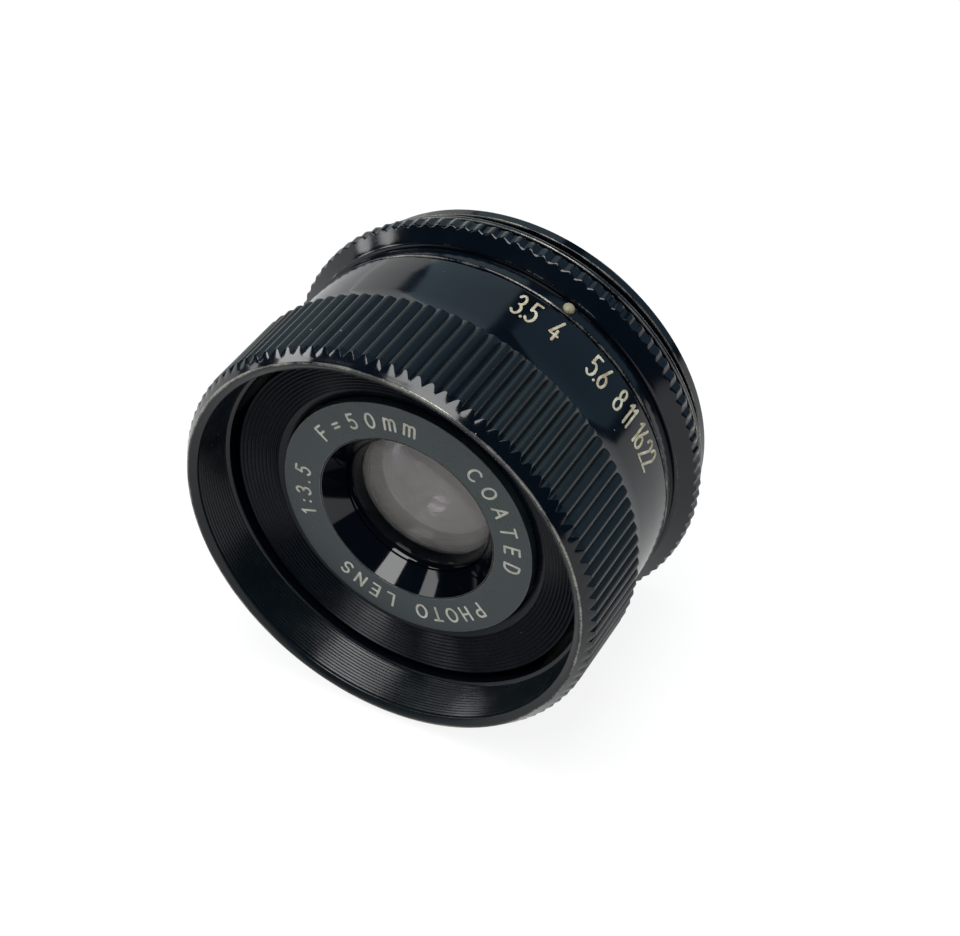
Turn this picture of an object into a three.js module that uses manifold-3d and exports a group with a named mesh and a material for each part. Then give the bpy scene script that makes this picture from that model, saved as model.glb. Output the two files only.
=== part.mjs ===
// A 50 mm f/3.5 enlarger lens on an M39 screw mount, as an assembly of turned pieces.
//
// Units are millimetres. The optical axis is horizontal, along Y, and the lens looks towards -Y. +Z is up.
// Pieces are drawn by depth, the distance behind the front rim, and the exported group moves them forward
// so that the origin lies on the optical axis, midway between the rim and the end of the mount thread.
// Clock angles are seen from the front and run counterclockwise from +X.

import * as THREE from 'three';
import { mergeVertices } from 'three/addons/utils/BufferGeometryUtils.js';
import Module from 'manifold-3d';

const wasm = await Module();
wasm.setup();

// Fineness of the round surfaces.
const OUTSIDE_SIDES = 40;
const INSIDE_SIDES = 30;
const PIN_SIDES = 10;
const WELD = 1e-4;

// Aperture ring: knurled grip in front, plain scale band behind.
const RIM_RADIUS = 21.9;
const RIM_WIDTH = 0.95;
const GRIP_RADIUS = 22.85;
const GRIP_RIBS = 100;
const RIB_HEIGHT = 0.34;
const BEVEL_LENGTH = 1.4;
const GRIP_END = 11.05;
const SCALE_RADIUS = 21.7;
const RING_END = 19.5;
const MOUTH_RADIUS = 20.4;
const MOUTH_END = 5.0;
const CAVITY_RADIUS = 20.1;
const WEB_RADIUS = 18.3;
const WEB_START = 12.0;
const WEB_END = 14.9;
const BEARING_BORE = 19.5;

// Main barrel: inner tube, index ring, toothed flange and mount thread.
const TUBE_RADIUS = 18.19;
const TUBE_BORE = 16.9;
const TUBE_START = 11.9;
const BEARING_RADIUS = 19.4;
const BEARING_START = 15.2;
const INDEX_RADIUS = 21.5;
const INDEX_START = 19.9;
const INDEX_END = 21.6;
const FLANGE_RADIUS = 23.3;
const FLANGE_TEETH = 100;
const TOOTH_HEIGHT = 0.28;
const TEETH_START = 23.05;
const TEETH_END = 24.4;
const NECK_RADIUS = 22.3;
const SEAT_DEPTH = 25.2;
const THREAD_RADIUS = 19.5;
const THREAD_ROOT = 18.9;
const THREAD_END = 31.9;
const IRIS_SHOULDER = 19.7;
const REAR_CELL_BORE = 10.3;
const REAR_SHOULDER = 24.0;

// Mount hardware behind the flange.
const WASHER_RADIUS = 22.6;
const WASHER_FRONT = 25.45;
const WASHER_BACK = 25.95;
const NUT_BOSS_RADIUS = 20.9;
const NUT_RADIUS = 21.65;
const NUT_BORE = 19.6;
const NUT_FRONT = 26.2;
const NUT_STEP = 27.75;
const NUT_BACK = 29.1;

// Front of the fixed lens: housing, name ring and cell.
const HOUSING_RADIUS = 19.2;
const HOUSING_FRONT = 5.2;
const HOUSING_BACK = 11.6;
const NAME_RING_RADIUS = 13.9;
const NAME_RING_BORE = 9.85;
const NAME_RING_FRONT = 5.5;
const NAME_RING_BACK = 6.5;
const CELL_MOUTH_RADIUS = 9.65;
const CELL_MOUTH_BACK = 7.85;
const CELL_BORE = 8.15;
const BEZEL_FRONT = 8.0;

// Glass: [front curvature radius, back curvature radius], negative where the centre lies in front.
const FRONT_GLASS = { front: 8.45, thickness: 2.65, radius: 8.0, curves: [19, Infinity], flat: 8.0 };
const MIDDLE_GLASS = { front: 12.6, thickness: 1.0, radius: 7.6, curves: [-35, 17], flat: 6.2 };
const REAR_GLASS = { front: 20.4, thickness: 3.4, radius: 7.0, curves: [60, -15.5], flat: 7.0 };

// Iris: six blades that turn on fixed pivots, each driven by a pin in a cam slot of the drive ring.
const BLADES = 6;
const BLADE_THICKNESS = 0.12;
const BLADE_PITCH = 0.24;
const BLADE_STACK_BACK = 18.5;
const BLADE_INNER = 6.2;
const BLADE_OUTER = 11.6;
const BLADE_SPAN = 130;
const PIVOT_CIRCLE = 12.7;
const PIVOT_TO_PIN = 2.6;
const PEG_RADIUS = 0.45;
const PEG_HOLE_RADIUS = 0.53;
const SLOT_HALF_WIDTH = 0.56;
const SLOT_STEPS = 8;
const IRIS_PLATE_FRONT = 18.7;
const IRIS_PLATE_BACK = 19.4;
const DRIVE_RING_FRONT = 15.95;
const DRIVE_RING_BACK = 16.95;

// Travel of the aperture ring. It rests at f/4: f/3.5 is one way and f/22 the other.
const TURN_TO_OPEN = 9.2;
const TURN_TO_CLOSED = 40.3;
const FULL_TURN = TURN_TO_OPEN + TURN_TO_CLOSED;
const CLOSED_APERTURE = 1.0;
const BLADE_SWING = THREE.MathUtils.radToDeg(
  2 * Math.asin((BLADE_INNER - CLOSED_APERTURE) / (2 * PIVOT_CIRCLE)),
);
const BLADE_RATIO = BLADE_SWING / FULL_TURN;

// The drive screw is underneath, and the index bead is at the right of the top.
const SCREW_ANGLE = 235;
const SCREW_DEPTH = 16.45;
const SCREW_RADIUS = 0.8;
const SCREW_TIP_RADIUS = 0.6;
const INDEX_ANGLE = 63.1;
const BEAD_RADIUS = 0.6;
const BEAD_DEPTH = 20.85;

const radians = THREE.MathUtils.degToRad;

// ---------------------------------------------------------------- geometry helpers

// Body of revolution from the corners of its section, each a [radius, depth] pair.
function turned(corners, sides = INSIDE_SIDES) {
  const outline = corners.map(([radius, depth]) => new THREE.Vector2(radius, depth));
  if (THREE.ShapeUtils.area(outline) < 0) outline.reverse();
  const onAxis = outline.filter((point) => point.x === 0).length;
  if (onAxis === 0) outline.push(outline[0].clone());
  return new THREE.LatheGeometry(outline, sides);
}

// Points along an arc, both ends included. Angles are in degrees, and either way round.
function arc(x, y, radius, start, end, steps) {
  return Array.from({ length: steps + 1 }, (_, i) => {
    const angle = radians(start + ((end - start) * i) / steps);
    return new THREE.Vector2(x + radius * Math.cos(angle), y + radius * Math.sin(angle));
  });
}

// Flat plate between two depths, from a shape drawn in X and Z as seen from the front.
function plate(shape, front, back) {
  const geometry = new THREE.ExtrudeGeometry(shape, { depth: back - front, bevelEnabled: false });
  geometry.rotateX(Math.PI / 2);
  geometry.translate(0, back, 0);
  return geometry;
}

// Peg parallel to the optical axis.
function peg(radius, front, back, x = 0, z = 0) {
  const geometry = new THREE.CylinderGeometry(radius, radius, back - front, PIN_SIDES);
  geometry.translate(x, (front + back) / 2, z);
  return geometry;
}

// Peg that points away from the optical axis at a clock angle.
function radialPeg(radius, inner, outer, angle, depth, sides = PIN_SIDES) {
  const geometry = new THREE.CylinderGeometry(radius, radius, outer - inner, sides);
  geometry.rotateZ(-Math.PI / 2);
  geometry.translate((inner + outer) / 2, depth, 0);
  geometry.rotateY(-radians(angle));
  return geometry;
}

// Block that fills part of a ring between two clock angles.
function sectorBlock(inner, outer, startAngle, endAngle, front, back) {
  const steps = Math.ceil((endAngle - startAngle) / 12);
  const outline = [
    ...arc(0, 0, outer, startAngle, endAngle, steps),
    ...arc(0, 0, inner, endAngle, startAngle, steps),
  ];
  return plate(new THREE.Shape(outline), front, back);
}

// Round prism whose edge carries straight V-shaped ribs.
function ribbedPrism(ribs, crest, height, front, back) {
  const corners = Array.from({ length: 2 * ribs }, (_, i) => {
    const radius = i % 2 === 0 ? crest : crest - height;
    const angle = (Math.PI * i) / ribs;
    return new THREE.Vector2(radius * Math.cos(angle), radius * Math.sin(angle));
  });
  return plate(new THREE.Shape(corners), front, back);
}

function toSolid(geometry) {
  const bare = geometry.clone();
  bare.deleteAttribute('normal');
  bare.deleteAttribute('uv');
  const welded = mergeVertices(bare, WELD);
  const corners = welded.index.array;
  const kept = [];
  for (let i = 0; i < corners.length; i += 3) {
    const [a, b, c] = [corners[i], corners[i + 1], corners[i + 2]];
    if (a !== b && b !== c && c !== a) kept.push(a, b, c);
  }
  const mesh = new wasm.Mesh({
    numProp: 3,
    vertProperties: new Float32Array(welded.attributes.position.array),
    triVerts: new Uint32Array(kept),
  });
  return new wasm.Manifold(mesh);
}

function toGeometry(solid) {
  const mesh = solid.getMesh();
  const geometry = new THREE.BufferGeometry();
  geometry.setAttribute('position', new THREE.BufferAttribute(mesh.vertProperties, 3));
  geometry.setIndex(new THREE.BufferAttribute(mesh.triVerts, 1));
  geometry.computeVertexNormals();
  return geometry;
}

function joined(...geometries) {
  return toGeometry(geometries.map(toSolid).reduce((whole, next) => whole.add(next)));
}

function cut(geometry, ...cutters) {
  return toGeometry(cutters.map(toSolid).reduce((left, next) => left.subtract(next), toSolid(geometry)));
}

function common(first, second) {
  return toGeometry(toSolid(first).intersect(toSolid(second)));
}

// ---------------------------------------------------------------- materials

function finish(color, roughness, metalness, extra = {}) {
  return new THREE.MeshStandardMaterial({ color, roughness, metalness, ...extra });
}

const blackAnodised = () => finish(0x1b1e24, 0.42, 0.6);
const mattBlack = () => finish(0x101114, 0.75, 0.2);
const engravedFace = () => finish(0x26282c, 0.55, 0.5);
const glossBlack = () => finish(0x08090a, 0.15, 0.3);
const steel = () => finish(0x8a8d90, 0.35, 1.0);
const blueSteel = () => finish(0x24262b, 0.4, 0.8);
const brass = () => finish(0xb08d4a, 0.35, 1.0);
const ivory = () => finish(0xe9e4d2, 0.3, 0.0);
const coatedGlass = () => finish(0xb7a8b4, 0.05, 0.0, { transparent: true, opacity: 0.4 });

// ---------------------------------------------------------------- aperture ring and its screw

function apertureRing() {
  const bevel = turned([
    [0, 0],
    [RIM_RADIUS, 0],
    [GRIP_RADIUS + 0.1, BEVEL_LENGTH],
    [GRIP_RADIUS + 0.1, GRIP_END],
    [0, GRIP_END],
  ], 2 * OUTSIDE_SIDES);
  const grip = common(ribbedPrism(GRIP_RIBS, GRIP_RADIUS, RIB_HEIGHT, -1, GRIP_END), bevel);
  const band = turned([
    [0, GRIP_END - 1],
    [SCALE_RADIUS, GRIP_END - 1],
    [SCALE_RADIUS, RING_END],
    [0, RING_END],
  ], 2 * OUTSIDE_SIDES);
  const bore = turned([
    [0, -1],
    [RIM_RADIUS - RIM_WIDTH, -1],
    [RIM_RADIUS - RIM_WIDTH, 0],
    [MOUTH_RADIUS, MOUTH_END],
    [CAVITY_RADIUS, MOUTH_END],
    [CAVITY_RADIUS, WEB_START],
    [WEB_RADIUS, WEB_START],
    [WEB_RADIUS, WEB_END],
    [BEARING_BORE, WEB_END],
    [BEARING_BORE, RING_END + 1],
    [0, RING_END + 1],
  ], OUTSIDE_SIDES);
  const screwHole = radialPeg(SCREW_RADIUS + 0.07, 19, 23, SCREW_ANGLE, SCREW_DEPTH);
  return cut(joined(grip, band), bore, screwHole);
}

// Grub screw through the ring's wall, with a thin tip that reaches the iris drive ring.
function driveScrew() {
  const screwHead = 21.4;
  const tipStart = 19.62;
  const tipEnd = 14.95;
  const shank = radialPeg(SCREW_RADIUS, tipStart, screwHead, SCREW_ANGLE, SCREW_DEPTH);
  const tip = radialPeg(SCREW_TIP_RADIUS, tipEnd, tipStart + 0.2, SCREW_ANGLE, SCREW_DEPTH);
  const slot = new THREE.BoxGeometry(0.9, 0.28, 3);
  slot.translate(screwHead, SCREW_DEPTH, 0);
  slot.rotateY(-radians(SCREW_ANGLE));
  return cut(joined(shank, tip), slot);
}

// ---------------------------------------------------------------- main barrel and mount

function screwWindow(inner, outer, front, back) {
  const margin = 3.2;
  return sectorBlock(inner, outer, SCREW_ANGLE - TURN_TO_OPEN - margin, SCREW_ANGLE + TURN_TO_CLOSED + margin,
    front, back);
}

function mainBarrel() {
  const body = turned([
    [TUBE_BORE, TUBE_START],
    [TUBE_RADIUS, TUBE_START],
    [TUBE_RADIUS, BEARING_START],
    [BEARING_RADIUS, BEARING_START],
    [BEARING_RADIUS, INDEX_START],
    [INDEX_RADIUS - 0.2, INDEX_START],
    [INDEX_RADIUS, INDEX_START + 0.2],
    [INDEX_RADIUS, TEETH_START + 0.2],
    [NECK_RADIUS, TEETH_START + 0.2],
    [NECK_RADIUS, SEAT_DEPTH],
    [THREAD_ROOT, SEAT_DEPTH],
    [THREAD_ROOT, SEAT_DEPTH + 0.8],
    [THREAD_RADIUS, SEAT_DEPTH + 1.0],
    [THREAD_RADIUS, THREAD_END - 0.6],
    [THREAD_ROOT, THREAD_END],
    [17.6, THREAD_END],
    [12.2, REAR_SHOULDER + 1.6],
    [12.2, REAR_SHOULDER],
    [REAR_CELL_BORE, REAR_SHOULDER],
    [REAR_CELL_BORE, IRIS_SHOULDER],
    [TUBE_BORE, IRIS_SHOULDER],
  ], OUTSIDE_SIDES);
  const flangeSlope = turned([
    [INDEX_RADIUS - 0.3, INDEX_END],
    [FLANGE_RADIUS + 0.1, TEETH_START + 0.05],
    [FLANGE_RADIUS + 0.1, TEETH_END + 1],
    [INDEX_RADIUS - 0.3, TEETH_END + 1],
  ], 2 * OUTSIDE_SIDES);
  const toothed = ribbedPrism(FLANGE_TEETH, FLANGE_RADIUS, TOOTH_HEIGHT, INDEX_END, TEETH_END);
  const flange = common(toothed, flangeSlope);
  const beadSocket = radialPeg(BEAD_RADIUS + 0.12, 20.3, 23, INDEX_ANGLE, BEAD_DEPTH);
  return cut(joined(body, flange), screwWindow(16, 20, 15.6, 17.3), beadSocket);
}

// Round-headed pip pressed into the index ring.
function indexBead() {
  const stemEnd = 20.6;
  const dome = 0.45;
  const outline = [[0, stemEnd], [BEAD_RADIUS, stemEnd], [BEAD_RADIUS, INDEX_RADIUS]];
  for (let step = 1; step <= 3; step += 1) {
    const angle = radians(30 * step);
    const radius = step === 3 ? 0 : BEAD_RADIUS * Math.cos(angle);
    outline.push([radius, INDEX_RADIUS + dome * Math.sin(angle)]);
  }
  const geometry = turned(outline, PIN_SIDES);
  geometry.rotateZ(-Math.PI / 2);
  geometry.translate(0, BEAD_DEPTH, 0);
  geometry.rotateY(-radians(INDEX_ANGLE));
  return geometry;
}

function seatWasher() {
  const bore = NUT_BORE + 0.15;
  return turned([
    [bore, WASHER_FRONT],
    [WASHER_RADIUS, WASHER_FRONT],
    [WASHER_RADIUS, WASHER_BACK],
    [bore, WASHER_BACK],
  ], OUTSIDE_SIDES);
}

function jamNut() {
  return turned([
    [NUT_BORE, NUT_FRONT],
    [NUT_BOSS_RADIUS, NUT_FRONT],
    [NUT_BOSS_RADIUS, NUT_STEP],
    [NUT_RADIUS - 0.1, NUT_STEP],
    [NUT_RADIUS, NUT_STEP + 0.1],
    [NUT_RADIUS, NUT_BACK - 0.35],
    [NUT_RADIUS - 0.35, NUT_BACK],
    [NUT_BORE, NUT_BACK],
  ], OUTSIDE_SIDES);
}

// ---------------------------------------------------------------- front housing and cells

function frontHousing() {
  const neck = 16.7;
  return turned([
    [14.1, 6.3],
    [HOUSING_RADIUS - 0.3, HOUSING_FRONT],
    [HOUSING_RADIUS, HOUSING_FRONT + 0.2],
    [HOUSING_RADIUS, HOUSING_BACK],
    [neck, HOUSING_BACK],
    [neck, 14.5],
    [11.3, 14.5],
    [11.3, 8.2],
    [14.1, 8.2],
  ], OUTSIDE_SIDES);
}

function nameRing() {
  return turned([
    [NAME_RING_BORE, NAME_RING_FRONT],
    [NAME_RING_RADIUS, NAME_RING_FRONT],
    [NAME_RING_RADIUS, NAME_RING_BACK],
    [NAME_RING_BORE, NAME_RING_BACK],
  ], OUTSIDE_SIDES);
}

// Tube that holds the two front elements, with a flange clamped under the name ring and a flared mouth.
function frontCell() {
  return turned([
    [CELL_MOUTH_RADIUS, NAME_RING_FRONT],
    [CELL_MOUTH_RADIUS + 0.1, NAME_RING_FRONT],
    [CELL_MOUTH_RADIUS + 0.1, 6.8],
    [13.8, 6.8],
    [13.8, 7.9],
    [11.0, 7.9],
    [11.0, 15.5],
    [6.0, 15.5],
    [6.0, 15.0],
    [7.75, 15.0],
    [7.75, 11.2],
    [CELL_BORE, 11.2],
    [CELL_BORE, CELL_MOUTH_BACK],
  ]);
}

function bezelRing() {
  return turned([[7.6, 9.95], [7.65, 8.5], [7.95, BEZEL_FRONT], [8.05, BEZEL_FRONT + 0.1], [8.05, 9.95]]);
}

function elementSpacer() {
  return turned([[6.9, 11.25], [7.65, 11.25], [7.65, 11.85], [6.9, 11.85]]);
}

function rearCell() {
  return turned([
    [6.5, 20.0],
    [10.1, 20.0],
    [10.1, 24.3],
    [12.0, 24.3],
    [12.0, 25.2],
    [7.2, 25.2],
    [7.2, 20.6],
    [6.5, 20.6],
  ]);
}

function rearRetainer() {
  return turned([[6.2, 22.75], [7.05, 22.75], [7.05, 23.6], [6.2, 23.6]]);
}

// Depth of a spherical surface at a radius, measured from its vertex.
function sag(curve, radius) {
  if (!Number.isFinite(curve)) return 0;
  return Math.sign(curve) * (Math.abs(curve) - Math.sqrt(curve * curve - radius * radius));
}

// Lens element: two spherical faces, flat where they meet a seat beyond the stated radius.
function glass({ front, thickness, radius, curves, flat }) {
  const steps = 5;
  const back = front + thickness;
  const radii = Array.from({ length: steps + 1 }, (_, i) => (flat * i) / steps);
  const frontFace = radii.map((r) => [r, front + sag(curves[0], r)]);
  const backFace = radii.map((r) => [r, back + sag(curves[1], r)]).reverse();
  if (flat < radius) {
    frontFace.push([radius, frontFace.at(-1)[1]]);
    backFace.unshift([radius, backFace[0][1]]);
  }
  return turned([...frontFace, ...backFace]);
}

// ---------------------------------------------------------------- iris

function irisHousing() {
  const body = turned([
    [6.6, IRIS_PLATE_FRONT],
    [15.8, IRIS_PLATE_FRONT],
    [15.8, 15.0],
    [16.7, 15.0],
    [16.7, IRIS_PLATE_BACK],
    [6.6, IRIS_PLATE_BACK],
  ]);
  const pivots = bladeAngles().map((angle) => peg(PEG_HOLE_RADIUS, 18, 20,
    PIVOT_CIRCLE * Math.cos(radians(angle)), PIVOT_CIRCLE * Math.sin(radians(angle))));
  return cut(body, screwWindow(15, 18, 14, 17.3), ...pivots);
}

function bladeAngles() {
  return Array.from({ length: BLADES }, (_, i) => (360 * i) / BLADES);
}

// Place of a blade's drive pin when the aperture ring has turned from fully open, seen in the ring.
function camPoint(ringTurn) {
  const swing = radians(BLADE_RATIO * ringTurn);
  const x = PIVOT_CIRCLE + PIVOT_TO_PIN * Math.sin(swing);
  const y = -PIVOT_TO_PIN * Math.cos(swing);
  return new THREE.Vector2(x, y).rotateAround(new THREE.Vector2(), -radians(ringTurn));
}

// Outline of one cam slot: both sides of the pin's path, with round ends.
function camSlot(angle) {
  const points = Array.from({ length: SLOT_STEPS + 1 }, (_, i) => camPoint((FULL_TURN * i) / SLOT_STEPS));
  const path = new THREE.CatmullRomCurve3(points.map((point) => new THREE.Vector3(point.x, point.y, 0)));
  const side = (sign) => points.map((_, i) => {
    const tangent = path.getTangent(i / SLOT_STEPS);
    const offset = new THREE.Vector2(-tangent.y, tangent.x).multiplyScalar(sign * SLOT_HALF_WIDTH);
    return points[i].clone().add(offset);
  });
  const cap = (centre, from) => [1, 2, 3].map((step) => {
    const direction = from.clone().sub(centre).rotateAround(new THREE.Vector2(), (-Math.PI * step) / 4);
    return centre.clone().add(direction);
  });
  const left = side(1);
  const right = side(-1).reverse();
  const outline = [...left, ...cap(points.at(-1), left.at(-1)), ...right, ...cap(points[0], right.at(-1))];
  return new THREE.Path(outline.map((point) => point.rotateAround(new THREE.Vector2(), radians(angle))));
}

// Flat ring with a cam slot for each blade and a notch for the drive screw, drawn fully open.
function irisDriveRing() {
  const outer = 15.4;
  const inner = 11.85;
  const notchFloor = 14.8;
  const notchHalf = 2.6;
  const notch = SCREW_ANGLE - TURN_TO_OPEN;
  const shape = new THREE.Shape([
    ...arc(0, 0, outer, notch + notchHalf, notch - notchHalf + 360, OUTSIDE_SIDES),
    ...arc(0, 0, notchFloor, notch - notchHalf, notch + notchHalf, 1),
  ]);
  shape.holes.push(new THREE.Path(arc(0, 0, inner, 0, 360, INSIDE_SIDES).slice(1)));
  shape.holes.push(...bladeAngles().map(camSlot));
  return plate(shape, DRIVE_RING_FRONT, DRIVE_RING_BACK);
}

function irisSnapRing() {
  const gap = 8;
  return sectorBlock(14.4, 15.6, SCREW_ANGLE + gap, SCREW_ANGLE - gap + 360, 15.2, 15.6);
}

// Crescent blade in its fully open place, with its pivot at the origin and the lens axis on -X.
function irisBlade(order) {
  const back = BLADE_STACK_BACK - BLADE_PITCH * order;
  const front = back - BLADE_THICKNESS;
  const middle = (BLADE_INNER + BLADE_OUTER) / 2;
  const end = new THREE.Vector2(middle, 0).rotateAround(new THREE.Vector2(), radians(BLADE_SPAN));
  const outline = [
    ...arc(-PIVOT_CIRCLE, 0, BLADE_OUTER, 9, BLADE_SPAN, 10),
    ...arc(end.x - PIVOT_CIRCLE, end.y, middle - BLADE_INNER, BLADE_SPAN, BLADE_SPAN + 180, 6).slice(1, -1),
    ...arc(-PIVOT_CIRCLE, 0, BLADE_INNER, BLADE_SPAN, -3, 14),
    ...arc(0, -PIVOT_TO_PIN, 0.95, -130, 0, 4),
    ...arc(0, 0, 1.0, 0, 75, 3),
  ];
  const pivot = peg(PEG_RADIUS, back - 0.06, IRIS_PLATE_BACK - 0.2);
  const drivePin = peg(PEG_RADIUS, DRIVE_RING_FRONT + 0.2, front + 0.06, 0, -PIVOT_TO_PIN);
  return joined(plate(new THREE.Shape(outline), front, back), pivot, drivePin);
}

// ---------------------------------------------------------------- assembly

const enlargerLens = new THREE.Group();
enlargerLens.position.y = -THREAD_END / 2;

function place(name, geometry, material, parent = enlargerLens) {
  const piece = new THREE.Mesh(geometry, material);
  piece.name = name;
  parent.add(piece);
  return piece;
}

place('main_barrel', mainBarrel(), blackAnodised());
place('index_bead', indexBead(), ivory());
place('front_housing', frontHousing(), mattBlack());
place('name_ring', nameRing(), engravedFace());
place('front_cell', frontCell(), glossBlack());
place('front_bezel_ring', bezelRing(), glossBlack());
place('front_element', glass(FRONT_GLASS), coatedGlass());
place('element_spacer', elementSpacer(), mattBlack());
place('middle_element', glass(MIDDLE_GLASS), coatedGlass());
place('rear_cell', rearCell(), mattBlack());
place('rear_element', glass(REAR_GLASS), coatedGlass());
place('rear_retainer', rearRetainer(), mattBlack());
place('iris_housing', irisHousing(), mattBlack());
place('iris_snap_ring', irisSnapRing(), steel());
place('aperture_ring', apertureRing(), blackAnodised());
place('drive_screw', driveScrew(), steel());
place('iris_drive_ring', irisDriveRing(), brass()).rotation.y = -radians(TURN_TO_OPEN);
place('seat_washer', seatWasher(), blackAnodised());
place('jam_nut', jamNut(), blackAnodised());

bladeAngles().forEach((angle, order) => {
  const pivot = new THREE.Group();
  pivot.position.set(PIVOT_CIRCLE * Math.cos(radians(angle)), 0, PIVOT_CIRCLE * Math.sin(radians(angle)));
  pivot.rotation.y = -radians(angle + BLADE_RATIO * TURN_TO_OPEN);
  enlargerLens.add(pivot);
  place(`iris_blade_${order + 1}`, irisBlade(order), blueSteel(), pivot);
});

export default enlargerLens;
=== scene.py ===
"""Looks of a 50 mm enlarger lens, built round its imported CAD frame.

Lengths of the lens are millimetres until a mesh is made, and depth is the distance behind the front
rim along the optical axis. Clock angles are seen from the front, counterclockwise from +X. The room
and its lights are in metres.
"""
import math

import bpy
from mathutils import Matrix, Vector


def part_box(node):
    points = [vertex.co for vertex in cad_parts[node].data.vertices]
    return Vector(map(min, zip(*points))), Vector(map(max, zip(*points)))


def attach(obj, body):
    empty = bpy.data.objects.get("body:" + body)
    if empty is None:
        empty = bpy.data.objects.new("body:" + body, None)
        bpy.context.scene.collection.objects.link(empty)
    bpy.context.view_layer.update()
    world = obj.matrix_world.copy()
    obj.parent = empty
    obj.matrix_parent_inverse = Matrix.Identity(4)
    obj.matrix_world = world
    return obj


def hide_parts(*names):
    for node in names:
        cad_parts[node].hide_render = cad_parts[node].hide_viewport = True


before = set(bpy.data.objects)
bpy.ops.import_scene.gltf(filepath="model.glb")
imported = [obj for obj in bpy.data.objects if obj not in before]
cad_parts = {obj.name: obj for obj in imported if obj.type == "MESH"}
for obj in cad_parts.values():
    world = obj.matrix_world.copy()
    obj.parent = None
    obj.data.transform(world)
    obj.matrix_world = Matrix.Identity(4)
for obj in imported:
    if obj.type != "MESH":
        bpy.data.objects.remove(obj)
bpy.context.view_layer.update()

MM = 0.001
TAU = 2 * math.pi
RIM_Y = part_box("aperture_ring")[0].y

# ---------------------------------------------------------------- sizes taken from the frame


def node_radius(node):
    """Largest radius of a CAD node about the optical axis."""
    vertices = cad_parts[node].data.vertices
    return max(math.hypot(v.co.x, v.co.z) for v in vertices) / MM


def node_depths(node):
    """Front and back depth of a CAD node."""
    low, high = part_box(node)
    return (low.y - RIM_Y) / MM, (high.y - RIM_Y) / MM


GRIP_RADIUS = node_radius("aperture_ring")
FLANGE_RADIUS = node_radius("main_barrel")
WASHER_RADIUS = node_radius("seat_washer")
NUT_RADIUS = node_radius("jam_nut")
RING_END = node_depths("aperture_ring")[1]
THREAD_END = node_depths("main_barrel")[1]
WASHER_FRONT, WASHER_BACK = node_depths("seat_washer")
NUT_FRONT, NUT_BACK = node_depths("jam_nut")
HOUSING_FRONT = node_depths("front_housing")[0]
NAME_FRONT, NAME_BACK = node_depths("name_ring")
BEZEL_FRONT, BEZEL_BACK = node_depths("front_bezel_ring")

# ---------------------------------------------------------------- driving sizes of the details

# Aperture ring, from the front.
RIM_RADIUS = 21.9
RIM_INNER = 20.98
BEVEL_LENGTH = 1.47
GRIP_START = 1.7
GRIP_END = 11.05
GRIP_RIBS = 100
RIB_HEIGHT = 0.34
RIB_ROOT_CUT = 0.12
RIB_ROOT_SHARE = 0.28
SCALE_RADIUS = 21.7
MOUTH_BACK = 5.0
MOUTH_GROOVES = 13

# Main barrel, from the index ring to the end of the thread.
INDEX_RADIUS = 21.5
INDEX_START = 19.9
INDEX_END = 21.5
SLOPE_START = 21.95
SLOPE_INNER = 21.75
SLOPE_RISE = 0.78
FLANGE_TEETH = 100
TOOTH_HEIGHT = 0.28
TOOTH_LAND = 0.12
TOOTH_FLANK = 0.7
TEETH_START = 23.05
TEETH_END = 24.4
NECK_RADIUS = 22.3
SEAT_DEPTH = 25.2
THREAD_RADIUS = 19.5
THREAD_PITCH = 25.4 / 26
THREAD_HEIGHT = 0.55
THREAD_FADE = 0.5
THREAD_STEEPNESS = 1.35
REAR_GROOVES = 9

# Housing, name ring, front cell and jam nut.
HOUSING_RADIUS = 19.2
FACE_GROOVES = 10
NAME_OUTER = 13.95
NAME_INNER = 9.8
CELL_MOUTH_RADIUS = 9.66
CELL_MOUTH_BACK = 7.85
CELL_BORE = 8.15
NUT_BOSS_RADIUS = 20.9
NUT_STEP = 27.75

# Drive screw and its window, index bead, and the stop numerals round the scale band.
SCREW_ANGLE = 235
SCREW_DEPTH = 16.45
WINDOW_ANGLES = (222.6, 278.5)
INDEX_ANGLE = 63.1
BEAD_DEPTH = 20.85
BEAD_RADIUS = 0.64
STOP_ANGLES = {"3.5": 71.2, "4": 62.0, "5.6": 46.9, "8": 37.9, "11": 33.2, "16": 26.8, "22": 20.9}
NUMERAL_BASE = 15.88
NUMERAL_HEIGHT = 2.74
NUMERAL_STROKE = 0.29
NUMERAL_GAP = 0.3
NUMERAL_SQUEEZE = 0.62
NUMERAL_RAISE = 0.02

# Name ring lettering: each text with the clock angle of its first letter and the step to the next.
NAME_RADIUS = 11.82
NAME_HEIGHT = 1.62
NAME_STROKE = 0.26
NAME_RAISE = 0.015
NAME_TEXTS = [
    ("F=50mm", 140.2, -10.72),
    ("1:3.5", 197.6, -6.6),
    ("COATED", 49.5, -11.2),
    ("PHOTO LENS", -46.7, -8.9),
]

# How finely curves are divided.
ROUND_SIDES = 192
GLASS_SIDES = 128
SMALL_SIDES = 32
FILLET_STEPS = 4
LENS_STEPS = 14

# Largest share of a side that a fillet takes, and that it takes together with its fading wear.
FILLET_SHARE = 0.4
FADE_SHARE = 0.48

# ---------------------------------------------------------------- turned meshes


def signed_area(points):
    """Area inside a closed outline, positive when it's listed counterclockwise."""
    pairs = zip(points, points[1:] + points[:1])
    return sum(a[0] * b[1] - b[0] * a[1] for a, b in pairs) / 2


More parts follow.
